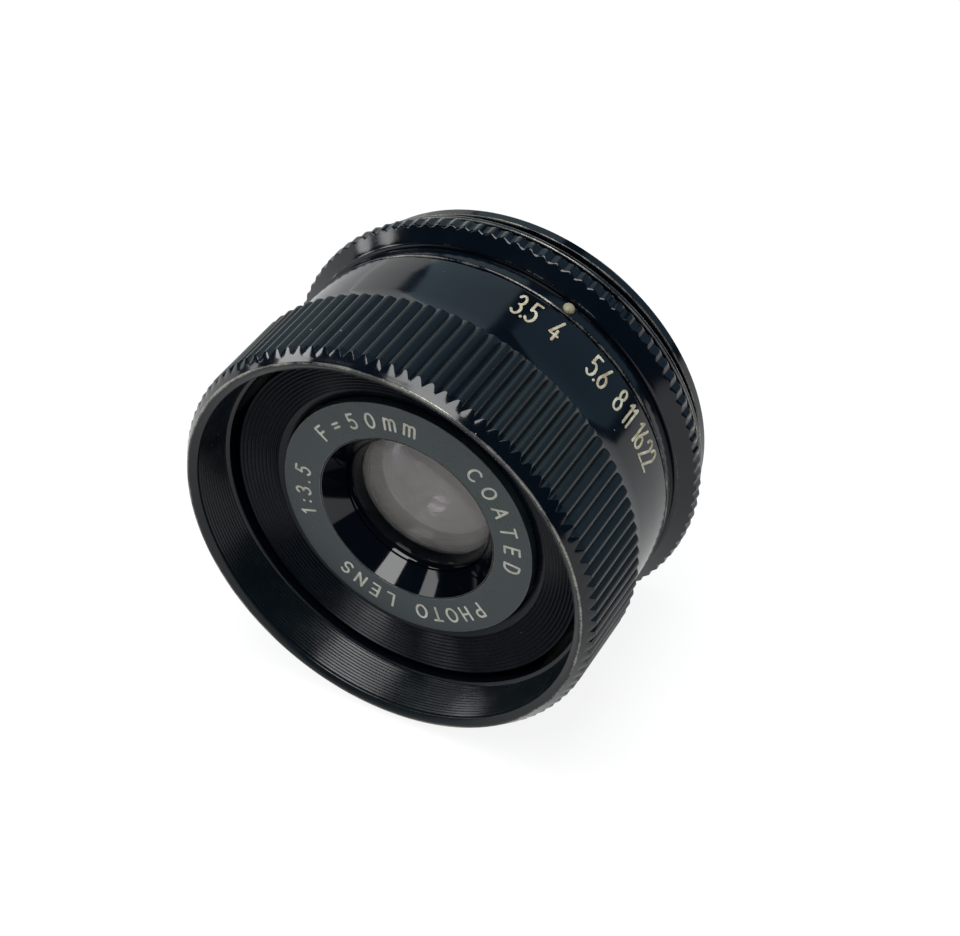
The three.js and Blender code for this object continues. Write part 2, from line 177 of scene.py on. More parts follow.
def section(corners, edge):
    """Closed section of (radius, depth, wear), from (radius, depth) or (radius, depth, fillet) corners.

    A filleted corner that stands out gets wear 1, which fades to 0 over the edge distance.
    """
    corners = [tuple(corner) + (0.0,) * (3 - len(corner)) for corner in corners]
    if signed_area(corners) < 0:
        corners.reverse()
    outline = []
    for i, (radius, depth, fillet) in enumerate(corners):
        here = Vector((radius, depth))
        before = Vector(corners[i - 1][:2]) - here
        after = Vector(corners[(i + 1) % len(corners)][:2]) - here
        if fillet <= 0:
            outline.append((radius, depth, 0.0))
            continue
        back, ahead = before.normalized(), after.normalized()
        set_back = fillet / max(math.tan(back.angle(ahead) / 2), 0.2)
        reach = min(set_back, FILLET_SHARE * before.length, FILLET_SHARE * after.length)
        wear = 1.0 if back.x * ahead.y - back.y * ahead.x < 0 else 0.0
        start, end = here + back * reach, here + ahead * reach
        apron = min(reach + edge, FADE_SHARE * before.length)
        outline.append((*(here + back * apron), 0.0))
        for step in range(FILLET_STEPS + 1):
            t = step / FILLET_STEPS
            point = start * (1 - t) ** 2 + here * (2 * t * (1 - t)) + end * t ** 2
            outline.append((*point, wear))
        apron = min(reach + edge, FADE_SHARE * after.length)
        outline.append((*(here + ahead * apron), 0.0))
    return outline


def finish_mesh(name, vertices, faces, sharp_angle, wear=None):
    """Object from (x, depth, z) vertices, with the wear of each kept as an attribute for its material."""
    mesh = bpy.data.meshes.new(name)
    mesh.from_pydata([(x * MM, RIM_Y + depth * MM, z * MM) for x, depth, z in vertices], [], faces)
    worn = wear or [0.0] * len(vertices)
    mesh.attributes.new("wear", "FLOAT", "POINT").data.foreach_set("value", worn)
    mesh.shade_smooth()
    mesh.set_sharp_from_angle(angle=math.radians(sharp_angle))
    piece = bpy.data.objects.new(name, mesh)
    bpy.context.scene.collection.objects.link(piece)
    return piece


def turned(name, outline, sides=ROUND_SIDES, sharp_angle=32):
    """Body of revolution. Each row is (radius, depth, wear), or a function of the angle that gives it."""
    vertices, wear, rings = [], [], []
    for row in outline:
        on_axis = not callable(row) and row[0] < 1e-6
        ring = []
        for i in range(1 if on_axis else sides):
            angle = TAU * i / sides
            radius, depth, worn = row(angle) if callable(row) else row
            ring.append(len(vertices))
            vertices.append((radius * math.cos(angle), depth, radius * math.sin(angle)))
            wear.append(worn)
        rings.append(ring)
    faces = []
    for lower, upper in zip(rings, rings[1:] + rings[:1]):
        for i in range(sides):
            j = (i + 1) % sides
            around = ((lower, i), (upper, i), (upper, j), (lower, j))
            corners = dict.fromkeys(ring[k % len(ring)] for ring, k in around)
            if len(corners) > 2:
                faces.append(tuple(corners))
    return finish_mesh(name, vertices, faces, sharp_angle, wear)


def place(piece, body, slot, material, *replaced):
    """Gives a piece its look, its body and the CAD nodes that it stands for."""
    piece.data.materials.append(material)
    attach(piece, body)
    if replaced:
        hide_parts(*replaced)


def refinish(piece, finish, covers):
    """Gives a second finish to the faces for which covers(radius, depth) is true."""
    piece.data.materials.append(finish)
    for face in piece.data.polygons:
        radius = math.hypot(face.center.x, face.center.z) / MM
        if covers(radius, (face.center.y - RIM_Y) / MM):
            face.material_index = len(piece.data.materials) - 1


# ---------------------------------------------------------------- outlines that vary round the lens


def share_of(angle, count):
    """0 at the crest of a rib or tooth and 1 at the root beside it."""
    return 1 - abs(2 * ((angle * count / TAU) % 1) - 1)


def rib_radius(angle):
    """Rounded rib of the grip, with a sharper cut at its root."""
    share = share_of(angle, GRIP_RIBS)
    wave = (1 - math.cos(math.pi * share ** 1.1)) / 2
    root = RIB_ROOT_CUT * max(0.0, share - (1 - RIB_ROOT_SHARE)) / RIB_ROOT_SHARE
    return GRIP_RADIUS - RIB_HEIGHT * wave - root


def tooth_radius(angle):
    """Tooth of the flange, with a flat crest, straight sides and a flat root."""
    share = share_of(angle, FLANGE_TEETH)
    return FLANGE_RADIUS - TOOTH_HEIGHT * min(max((share - TOOTH_LAND) / TOOTH_FLANK, 0), 1)


def crest_wear(angle, count, amount):
    """Wear that is full on a crest and gone a little more than halfway to the root."""
    return amount * max(0.0, 1 - 1.8 * share_of(angle, count))


def ribs_at(depth, inset=0.0, wear=0.12):
    """Row of the grip's ribs at one depth, with the crests brought in by the inset."""
    def point(angle):
        radius = min(rib_radius(angle), GRIP_RADIUS - inset)
        return radius, depth, crest_wear(angle, GRIP_RIBS, wear)
    return point


def bevel_edge(behind, wear):
    """Row along the zigzag where the front bevel meets the ribs."""
    def point(angle):
        radius = rib_radius(angle)
        depth = BEVEL_LENGTH * (radius - RIM_RADIUS) / (GRIP_RADIUS - RIM_RADIUS)
        inset = 0.02 if behind < 0 else 0.0
        return radius - inset, depth + behind, wear
    return point


def teeth_at(depth, inset=0.0, wear=0.35):
    """Row of the flange's teeth at one depth, with the crests brought in by the inset."""
    def point(angle):
        radius = min(tooth_radius(angle), FLANGE_RADIUS - inset)
        return radius, depth, crest_wear(angle, FLANGE_TEETH, wear)
    return point


def tooth_front(inset, wear):
    """Row where the flange's sloping face meets the teeth."""
    def point(angle):
        radius = tooth_radius(angle) - inset
        depth = SLOPE_START + (radius - SLOPE_INNER) * SLOPE_RISE
        return radius, depth, wear
    return point


def thread_row(depth, start, end):
    """Row of the right-hand mount thread, which fades out at both ends."""
    fade = min(1, max(0, (depth - start) / THREAD_FADE), max(0, (end - depth) / THREAD_FADE))

    def point(angle):
        phase = (depth / THREAD_PITCH + angle / TAU) % 1
        profile = min(max(THREAD_STEEPNESS - abs(4 * phase - 2) * THREAD_STEEPNESS, 0), 1)
        return THREAD_RADIUS - THREAD_HEIGHT * (1 - profile * fade), depth, 0.35 * profile * fade
    return point


def grooves(start, end, count, amount, wear=0.25):
    """Rows of fine turned V grooves along a line between two (radius, depth) points, both left out.

    They cut into the material of a section that is listed counterclockwise.
    """
    start, end = Vector(start), Vector(end)
    profile = ((0.05, 0.0, wear), (0.48, 1.0, 0.0), (0.52, 1.0, 0.0), (0.95, 0.0, wear))
    along = (end - start) / count
    inward = Vector((-along.y, along.x)).normalized()
    rows = []
    for i in range(count):
        for share, fall, worn in profile:
            point = start + along * (i + share) + inward * amount * fall
            rows.append((point.x, point.y, worn))
    return rows


# ---------------------------------------------------------------- outside: aperture ring and barrel


def aperture_ring_outline():
    bevel_rise = BEVEL_LENGTH / (GRIP_RADIUS - RIM_RADIUS)
    rim = [
        (RIM_INNER - 0.02, 0.4, 0.2),
        (RIM_INNER + 0.04, 0.34, 0.4),
        (RIM_INNER + 0.15, 0.28, 0.2),
        (RIM_RADIUS - 0.4, 0.04, 0.3),
        (RIM_RADIUS - 0.28, 0.0, 0.5),
        (RIM_RADIUS - 0.15, 0.0, 0.85),
        (RIM_RADIUS - 0.03, 0.01, 1.1),
        (RIM_RADIUS + 0.02, 0.04, 1.1),
        (RIM_RADIUS + 0.06, 0.06 * bevel_rise, 0.9),
        (RIM_RADIUS + 0.14, 0.14 * bevel_rise, 0.1),
        (RIM_RADIUS + 0.3, 0.3 * bevel_rise, 0.1),
    ]
    grip = [
        bevel_edge(-0.05, 0.35),
        bevel_edge(0.0, 0.6),
        bevel_edge(0.07, 0.5),
        ribs_at(1.9, wear=0.2),
        ribs_at(4.0),
        ribs_at(6.0),
        ribs_at(8.0),
        ribs_at(10.3),
        ribs_at(GRIP_END - 0.34, wear=0.3),
        ribs_at(GRIP_END - 0.2, 0.1, 0.6),
        ribs_at(GRIP_END - 0.06, 0.32, 0.6),
        (SCALE_RADIUS + 0.32, GRIP_END, 0.2),
        (SCALE_RADIUS + 0.03, GRIP_END + 0.02, 0.0),
        (SCALE_RADIUS, GRIP_END + 0.08, 0.0),
    ]
    band = [
        (SCALE_RADIUS, 13.5, 0.0),
        (SCALE_RADIUS, 16.5, 0.0),
        (SCALE_RADIUS, RING_END - 0.3, 0.0),
        (SCALE_RADIUS - 0.02, RING_END - 0.1, 0.8),
        (SCALE_RADIUS - 0.1, RING_END - 0.02, 0.9),
        (SCALE_RADIUS - 0.2, RING_END, 0.3),
    ]
    rear_bore, land_bore, front_bore = 19.5, 18.3, 20.1
    land_front, land_back = 12.0, 14.9
    inside = [
        (rear_bore, RING_END, 0.0),
        (rear_bore, land_back, 0.0),
        (land_bore, land_back, 0.0),
        (land_bore, land_front, 0.0),
        (front_bore, land_front, 0.0),
        (front_bore, MOUTH_BACK, 0.0),
    ]
    wall_back, wall_front = (20.36, MOUTH_BACK - 0.05), (RIM_INNER - 0.05, 0.6)
    wall = grooves(wall_back, wall_front, MOUTH_GROOVES, 0.13)
    lip = [(RIM_INNER - 0.04, 0.5, 0.0)]
    return rim + grip + band + inside + wall + lip


def main_barrel_outline():
    front_bore, nose_radius, body_radius = 16.9, 18.19, 19.4
    nose_front, nose_back = 11.9, 15.2
    front = [
        (front_bore, nose_front, 0.0),
        (nose_radius, nose_front, 0.0),
        (nose_radius, nose_back, 0.0),
        (body_radius, nose_back, 0.0),
        (body_radius, INDEX_START, 0.0),
        (INDEX_RADIUS - 0.22, INDEX_START, 0.3),
        (INDEX_RADIUS - 0.08, INDEX_START + 0.04, 0.9),
        (INDEX_RADIUS, INDEX_START + 0.16, 0.8),
        (INDEX_RADIUS, INDEX_START + 0.35, 0.0),
        (INDEX_RADIUS, INDEX_END - 0.3, 0.0),
        (INDEX_RADIUS - 0.02, INDEX_END - 0.1, 0.7),
        (INDEX_RADIUS - 0.12, INDEX_END, 0.6),
        (INDEX_RADIUS - 0.3, INDEX_END + 0.06, 0.0),
        (INDEX_RADIUS - 0.3, INDEX_END + 0.3, 0.0),
        (INDEX_RADIUS + 0.08, INDEX_END + 0.34, 0.3),
        (SLOPE_INNER, SLOPE_START - 0.02, 0.7),
        (SLOPE_INNER + 0.1, SLOPE_START + 0.07, 0.3),
        (SLOPE_INNER + 0.4, SLOPE_START + 0.4 * SLOPE_RISE, 0.0),
        (SLOPE_INNER + 0.76, SLOPE_START + 0.76 * SLOPE_RISE, 0.0),
    ]
    flange = [
        tooth_front(0.09, 0.1),
        tooth_front(0.02, 0.4),
        teeth_at(TEETH_START + 0.22, wear=0.4),
        teeth_at(TEETH_START + 0.5),
        teeth_at(TEETH_END - 0.35),
        teeth_at(TEETH_END - 0.1, 0.03, 0.7),
        teeth_at(TEETH_END, 0.14, 0.5),
        (NECK_RADIUS, TEETH_END + 0.02, 0.0),
        (NECK_RADIUS, TEETH_END + 0.5, 0.0),
        (NECK_RADIUS, SEAT_DEPTH - 0.16, 0.2),
        (NECK_RADIUS - 0.05, SEAT_DEPTH - 0.04, 0.9),
        (NECK_RADIUS - 0.16, SEAT_DEPTH, 0.6),
    ]
    start, end = SEAT_DEPTH + 0.8, THREAD_END - 0.2
    root = THREAD_RADIUS - THREAD_HEIGHT
    rows = int((end - start) / (THREAD_PITCH / 8))
    depths = [start + (end - start) * i / rows for i in range(rows + 1)]
    thread = [(root, SEAT_DEPTH, 0.0)] + [thread_row(depth, start, end) for depth in depths]
    rear = [
        (root - 0.12, THREAD_END, 0.5),
        (17.75, THREAD_END, 0.3),
        (17.6, THREAD_END - 0.06, 0.4),
    ]
    recess = grooves((17.5, THREAD_END - 0.15), (12.35, 25.85), REAR_GROOVES, 0.1, 0.1)
    rear_bore, cell_bore, cell_seat, iris_seat = 12.2, 10.3, 24.0, 19.7
    inside = [
        (rear_bore, 25.6, 0.0),
        (rear_bore, cell_seat, 0.0),
        (cell_bore, cell_seat, 0.0),
        (cell_bore, iris_seat, 0.0),
        (front_bore, iris_seat, 0.0),
    ]
    return front + flange + thread + rear + recess + inside


# ---------------------------------------------------------------- outlines of the plain turned pieces


def front_housing_outline():
    step = [
        (14.12, 6.36, 0.3),
        (14.25, 6.28, 0.0),
        (14.7, 6.17, 0.0),
        (14.95, HOUSING_FRONT + 0.89, 0.0),
    ]
    face_inner, face_outer = (15.0, HOUSING_FRONT + 0.88), (HOUSING_RADIUS - 0.25, HOUSING_FRONT)
    face = grooves(face_inner, face_outer, FACE_GROOVES, 0.15)
    edge = [
        (HOUSING_RADIUS - 0.2, HOUSING_FRONT, 0.4),
        (HOUSING_RADIUS - 0.06, HOUSING_FRONT + 0.08, 0.4),
        (HOUSING_RADIUS, HOUSING_FRONT + 0.25, 0.0),
    ]
    spigot_radius, bore, name_seat = 16.7, 11.3, 14.1
    shoulder, back, seat_floor = 11.6, 14.5, 8.2
    rear = [
        (HOUSING_RADIUS, shoulder, 0.0),
        (spigot_radius, shoulder, 0.0),
        (spigot_radius, back, 0.0),
        (bore, back, 0.0),
        (bore, seat_floor, 0.0),
        (name_seat, seat_floor, 0.0),
        (name_seat, 6.5, 0.0),
    ]
    return step + face + edge + rear


def name_ring_outline():
    return section([
        (NAME_INNER, NAME_FRONT, 0.07),
        (NAME_OUTER, NAME_FRONT, 0.06),
        (NAME_OUTER, NAME_BACK),
        (NAME_INNER, NAME_BACK),
    ], 0.12)


def front_cell_outline():
    mouth_front, mouth_radius = NAME_FRONT + 0.03, CELL_MOUTH_RADIUS + 0.09
    flange_radius, flange_front, flange_back = 13.8, 6.8, 7.9
    body_radius, body_back = 11.0, 15.5
    stop_bore, stop_front = 6.0, 15.0
    inner_bore, glass_seat = 7.75, 11.2
    return section([
        (CELL_MOUTH_RADIUS, mouth_front, 0.04),
        (mouth_radius, mouth_front, 0.02),
        (mouth_radius, flange_front),
        (flange_radius, flange_front),
        (flange_radius, flange_back),
        (body_radius, flange_back),
        (body_radius, body_back),
        (stop_bore, body_back),
        (stop_bore, stop_front),
        (inner_bore, stop_front),
        (inner_bore, glass_seat),
        (CELL_BORE, glass_seat),
        (CELL_BORE, CELL_MOUTH_BACK),
    ], 0.06)


def bezel_outline():
    outer = 8.06
    return section([
        (7.5, BEZEL_BACK),
        (7.66, BEZEL_FRONT + 0.5),
        (8.0, BEZEL_FRONT),
        (outer, BEZEL_FRONT + 0.08),
        (outer, BEZEL_BACK),
    ], 0.04)


def sphere_sag(curve, radius):
    """Depth of a face behind its vertex. A negative curve has its centre in front, and None is flat."""
    if curve is None:
        return 0.0
    return math.copysign(abs(curve) - math.sqrt(curve * curve - radius * radius), curve)


def lens_outline(front, thickness, radius, curves, flat):
    """Section of an element, flat beyond the stated radius where it meets a seat."""
    faces = []
    for vertex, curve in zip((front, front + thickness), curves):
        radii = [flat * i / LENS_STEPS for i in range(LENS_STEPS + 1)]
        face = [(r, vertex + sphere_sag(curve, r), 0.0) for r in radii]
        if flat < radius:
            face.append((radius, face[-1][1], 0.0))
        faces.append(face)
    return faces[0] + faces[1][::-1]


def rear_cell_outline():
    lip_bore, bore, body_radius, flange_radius = 6.5, 7.2, 10.1, 12.0
    front, lip_back, flange_front, back = 20.0, 20.6, 24.3, 25.2
    return section([
        (lip_bore, front),
        (body_radius, front),
        (body_radius, flange_front),
        (flange_radius, flange_front, 0.1),
        (flange_radius, back, 0.12),
        (bore, back, 0.12),
        (bore, lip_back),
        (lip_bore, lip_back),
    ], 0.22)


def rear_retainer_outline():
    bore, outer, front, back = 6.2, 7.05, 22.75, 23.6
    return section([(bore, front), (outer, front), (outer, back, 0.06), (bore, back, 0.12)], 0.05)


def seat_washer_outline():
    bore = 19.75
    return section([
        (bore, WASHER_FRONT, 0.05),
        (WASHER_RADIUS, WASHER_FRONT, 0.1),
        (WASHER_RADIUS, WASHER_BACK, 0.1),
        (bore, WASHER_BACK, 0.05),
    ], 0.1)


def jam_nut_outline():
    bore, chamfer = 19.6, 0.35
    return section([
        (bore, NUT_FRONT, 0.1),
        (NUT_BOSS_RADIUS, NUT_FRONT, 0.1),
        (NUT_BOSS_RADIUS, NUT_STEP),
        (NUT_RADIUS, NUT_STEP, 0.1),
        (NUT_RADIUS, NUT_BACK - chamfer, 0.08),
        (NUT_RADIUS - chamfer, NUT_BACK, 0.06),
        (bore, NUT_BACK, 0.1),
    ], 0.15)


# ---------------------------------------------------------------- lettering


def bow(x, y, width, height, start, stop, steps=12):
    """Part of an ellipse as points. Angles are in degrees, counterclockwise from the right."""
    angles = [math.radians(start + (stop - start) * i / steps) for i in range(steps + 1)]
    return [(x + width / 2 * math.cos(a), y + height / 2 * math.sin(a)) for a in angles]


def loop(x, y, width, height):
    """Whole ellipse as points."""
    return bow(x, y, width, height, 0, 360, 24)


# Strokes of each character in a cell one unit high, with its width.
GLYPHS = {
    "0": (0.56, [loop(0.28, 0.5, 0.56, 1.0)]),
    "1": (0.18, [[(0.0, 0.82), (0.18, 1.0), (0.18, 0.0)]]),
    "2": (0.5, [bow(0.25, 0.73, 0.46, 0.54, 170, -30) + [(0.01, 0.0), (0.5, 0.0)]]),
    "3": (0.5, [bow(0.22, 0.76, 0.42, 0.48, 155, -90), bow(0.22, 0.26, 0.5, 0.52, 90, -150)]),
    "4": (0.54, [[(0.4, 1.0), (0.0, 0.26), (0.54, 0.26)], [(0.37, 0.5), (0.37, 0.0)]]),
    "5": (0.5, [[(0.46, 1.0), (0.08, 1.0), (0.05, 0.56)], bow(0.22, 0.31, 0.54, 0.62, 125, -145)]),
    "6": (0.5, [[(0.34, 1.0), (0.04, 0.42)], loop(0.25, 0.28, 0.48, 0.56)]),
    "8": (0.5, [loop(0.25, 0.765, 0.4, 0.47), loop(0.25, 0.265, 0.5, 0.53)]),
    ".": (0.06, [[(0.03, 0.0), (0.03, 0.03)]]),
    ":": (0.06, [[(0.03, 0.12), (0.03, 0.15)], [(0.03, 0.6), (0.03, 0.63)]]),
    "=": (0.42, [[(0.0, 0.36), (0.42, 0.36)], [(0.0, 0.64), (0.42, 0.64)]]),
    "m": (0.7, [[(0.0, 0.0), (0.0, 0.8)],
                [(0.35, 0.0), (0.35, 0.58)] + bow(0.175, 0.58, 0.35, 0.42, 0, 180),
                [(0.7, 0.0), (0.7, 0.58)] + bow(0.525, 0.58, 0.35, 0.42, 0, 180)]),
    "A": (0.66, [[(0.0, 0.0), (0.33, 1.0), (0.66, 0.0)], [(0.12, 0.34), (0.54, 0.34)]]),
    "C": (0.62, [bow(0.36, 0.5, 0.72, 1.0, 48, 312, 18)]),
    "D": (0.58, [[(0.0, 0.0), (0.0, 1.0), (0.2, 1.0)]
                 + bow(0.2, 0.5, 0.76, 1.0, 90, -90, 14) + [(0.0, 0.0)]]),
    "E": (0.48, [[(0.48, 1.0), (0.0, 1.0), (0.0, 0.0), (0.48, 0.0)], [(0.0, 0.52), (0.42, 0.52)]]),
    "F": (0.46, [[(0.0, 0.0), (0.0, 1.0), (0.46, 1.0)], [(0.0, 0.54), (0.4, 0.54)]]),
    "H": (0.54, [[(0.0, 0.0), (0.0, 1.0)], [(0.54, 0.0), (0.54, 1.0)], [(0.0, 0.52), (0.54, 0.52)]]),
    "L": (0.44, [[(0.0, 1.0), (0.0, 0.0), (0.44, 0.0)]]),
    "N": (0.56, [[(0.0, 0.0), (0.0, 1.0), (0.56, 0.0), (0.56, 1.0)]]),
    "O": (0.7, [loop(0.35, 0.5, 0.7, 1.0)]),
    "P": (0.52, [[(0.0, 0.0), (0.0, 1.0), (0.28, 1.0)]
                 + bow(0.28, 0.74, 0.48, 0.52, 90, -90) + [(0.0, 0.48)]]),
    "S": (0.54, [bow(0.27, 0.75, 0.5, 0.5, 35, 265) + bow(0.27, 0.26, 0.54, 0.52, 85, -145)]),
    "T": (0.58, [[(0.0, 1.0), (0.58, 1.0)], [(0.29, 1.0), (0.29, 0.0)]]),
}


def split_at_corners(points):
    """Strokes that end at every sharp corner, so that the corner is as round as the cutter."""
    sharpest_bend = 35
    strokes, current = [], [points[0]]
    for before, here, after in zip(points, points[1:], points[2:] + [None]):
        current.append(here)
        if after is None:
            break
        turn = (Vector(here) - Vector(before)).angle(Vector(after) - Vector(here), 0.0)
        if math.degrees(turn) > sharpest_bend:
            strokes.append(current)
            current = [here]
    return strokes + [current]


def stroke_rows(points, width, height):
    """Rows of (u, v, height) points across one round-ended stroke, and whether the stroke is a loop."""
    points = [Vector(p) for p in points]
    closed = len(points) > 3 and (points[0] - points[-1]).length < 1e-6
    if closed:
        points = points[:-1]
    last = len(points) - 1
    profile = ((-1.0, -0.6), (-0.98, 0.4), (-0.7, 0.85), (0.0, 1.0), (0.7, 0.85), (0.98, 0.4), (1.0, -0.6))

    def across(centre, direction, scale):
        side = Vector((-direction.y, direction.x)) * width / 2 * scale
        row = []
        for s, h in profile:
            rise = h if h < 0 else h * (0.4 + 0.6 * scale)
            row.append((centre.x + side.x * s, centre.y + side.y * s, height * rise))
        return row

    def cap(centre, direction, outward, angles):
        reach = direction * width / 2 * outward
        turns = [math.radians(angle) for angle in angles]
        return [across(centre + reach * math.cos(t), direction, math.sin(t)) for t in turns]

    rows = []
    for i, point in enumerate(points):
        before = points[i - 1] if (i > 0 or closed) else point
        after = points[(i + 1) % len(points)] if (i < last or closed) else point
        direction = (after - before).normalized()
        if i == 0 and not closed:
            rows += cap(point, direction, -1, (8, 30, 60))
        rows.append(across(point, direction, 1.0))
        if i == last and not closed:
            rows += cap(point, direction, 1, (60, 30, 8))
    return rows, closed


def lettering(name, strokes, width, height, surface):
    """One mesh of raised strokes. surface turns (u, v, height) into an (x, depth, z) point."""
    vertices, faces = [], []
    for stroke in strokes:
        for part in split_at_corners(stroke):
            rows, closed = stroke_rows(part, width, height)
            size = len(rows[0])
            starts = [len(vertices) + size * i for i in range(len(rows))]
            followers = starts[1:] + (starts[:1] if closed else [])
            for row in rows:
                vertices.extend(surface(*point) for point in row)
            for here, ahead in zip(starts, followers):
                for k in range(size):
                    m = (k + 1) % size
                    faces.append((here + k, ahead + k, ahead + m, here + m))
            if not closed:
                faces.append(tuple(starts[0] + k for k in range(size)))
                faces.append(tuple(starts[-1] + k for k in reversed(range(size))))
    return finish_mesh(name, vertices, faces, 40)


def text_strokes(text, height, squeeze, gap):
    """Strokes of a line of text on its own flat patch, centred on u = 0 with its foot on v = 0."""
    widths = [GLYPHS[c][0] * squeeze * height for c in text]
    u = -(sum(widths) + gap * (len(text) - 1)) / 2
    strokes = []
    for character, width in zip(text, widths):
        for stroke in GLYPHS[character][1]:
            strokes.append([(u + x * squeeze * height, y * height) for x, y in stroke])
        u += width + gap
    return strokes


# ---------------------------------------------------------------- pieces that point away from the axis


def stand_out(piece, angle, depth):
    """Turns a piece made about the optical axis to point outward at a clock angle and depth."""
    turn = math.radians(angle)
    outward = Vector((math.cos(turn), 0, math.sin(turn)))
    axis = Vector((0, 1, 0))
    basis = Matrix((outward.cross(axis), outward, axis)).transposed().to_4x4()
    to_place = Matrix.Translation((0, RIM_Y + depth * MM, 0))
    piece.data.transform(to_place @ basis @ Matrix.Translation((0, -RIM_Y, 0)))
    return piece


def ring_sector(name, radii, angles, depths):
    """Block between two radii, two clock angles and two depths."""
    (inner, outer), (start, end), (front, back) = radii, angles, depths
    steps = 24
    vertices, faces = [], []
    for i in range(steps + 1):
        angle = math.radians(start + (end - start) * i / steps)
        for radius, depth in ((inner, front), (outer, front), (outer, back), (inner, back)):
            vertices.append((radius * math.cos(angle), depth, radius * math.sin(angle)))
    for i in range(steps):
        a, b = 4 * i, 4 * i + 4
        faces.extend((a + k, b + k, b + (k + 1) % 4, a + (k + 1) % 4) for k in range(4))
    faces.append((0, 1, 2, 3))
    faces.append(tuple(reversed(range(4 * steps, 4 * steps + 4))))
    return finish_mesh(name, vertices, faces, 30)


def carve(piece, sharp_angle, *cutters):
    """Cuts other meshes out of a piece and removes them."""
    for cutter in cutters:
        cut = piece.modifiers.new("cut", "BOOLEAN")
        cut.operation = "DIFFERENCE"
        cut.solver = "EXACT"
        cut.object = cutter
    graph = bpy.context.evaluated_depsgraph_get()
    carved = bpy.data.meshes.new_from_object(piece.evaluated_get(graph))
    piece.modifiers.clear()
    piece.data = carved
    piece.data.set_sharp_from_angle(angle=math.radians(sharp_angle))
    for cutter in cutters:
        bpy.data.objects.remove(cutter)


# ---------------------------------------------------------------- materials


class Look:
    """A material's node tree, with a short call that makes a node and links or sets its inputs."""

    def __init__(self, name):
        self.material = bpy.data.materials.new(name)
        self.material.use_nodes = True
        self.tree = self.material.node_tree
        self.tree.nodes.clear()
        coordinates = self.node("TexCoord")
        self.point = self.scaled(coordinates.outputs["Object"], (1 / MM, 1 / MM, 1 / MM))
        split = self.node("SeparateXYZ", {0: self.point})
        flat = self.node("CombineXYZ", {0: split.outputs["X"], 2: split.outputs["Z"]})
        radius = self.node("VectorMath", {0: flat.outputs[0]}, operation="LENGTH")
        lathe = self.node("CombineXYZ", {0: radius.outputs["Value"], 1: split.outputs["Y"]})
        self.lathe = lathe.outputs[0]

    def node(self, kind, inputs=None, **settings):
        made = self.tree.nodes.new("ShaderNode" + kind)
        for key, value in settings.items():
            setattr(made, key, value)
        for key, value in (inputs or {}).items():
            if isinstance(value, bpy.types.NodeSocket):
                self.tree.links.new(value, made.inputs[key])
            else:
                made.inputs[key].default_value = value
        return made

    def scaled(self, vector, factors):
        return self.node("VectorMath", {0: vector, 1: factors}, operation="MULTIPLY").outputs[0]

    def noise(self, vector, scale, detail, roughness):
        inputs = {"Vector": vector, "Scale": scale, "Detail": detail, "Roughness": roughness}
        return self.node("TexNoise", inputs).outputs[0]

    def bump(self, height, strength=1.0, distance=0.01 * MM):
        inputs = {"Strength": strength, "Distance": distance, "Height": height}
        return self.node("Bump", inputs).outputs[0]

    def math(self, operation, *values):
        return self.node("Math", dict(enumerate(values)), operation=operation).outputs[0]

    def ramp(self, value, low, high, to_low=0.0, to_high=1.0):
        """Maps the range from low to high onto the range from to_low to to_high, and holds the ends."""
        inputs = {"Value": value, 1: low, 2: high, 3: to_low, 4: to_high}
        return self.node("MapRange", inputs).outputs[0]

    def mix(self, factor, first, second):
        return self.node("Mix", {0: factor, 6: first, 7: second}, data_type="RGBA").outputs[2]

    def specks(self, scale, size, share):
        """Round specks of uneven size, in a share of the cells, with scale cells to the millimetre."""
        cells = self.node("TexVoronoi", {"Vector": self.point, "Scale": scale})
        chance = self.node("SeparateColor", {0: cells.outputs["Color"]})
        reach = self.ramp(chance.outputs[0], 1 - share, 1.0, 0.0, size * scale)
        return self.math("LESS_THAN", cells.outputs["Distance"], reach)

    def output(self, shader):
        self.node("OutputMaterial", {0: shader})
        return self.material


def rgb(red, green, blue):
    return red, green, blue, 1.0


WORN_METAL = rgb(0.34, 0.33, 0.29)
DUST = rgb(0.30, 0.31, 0.28)


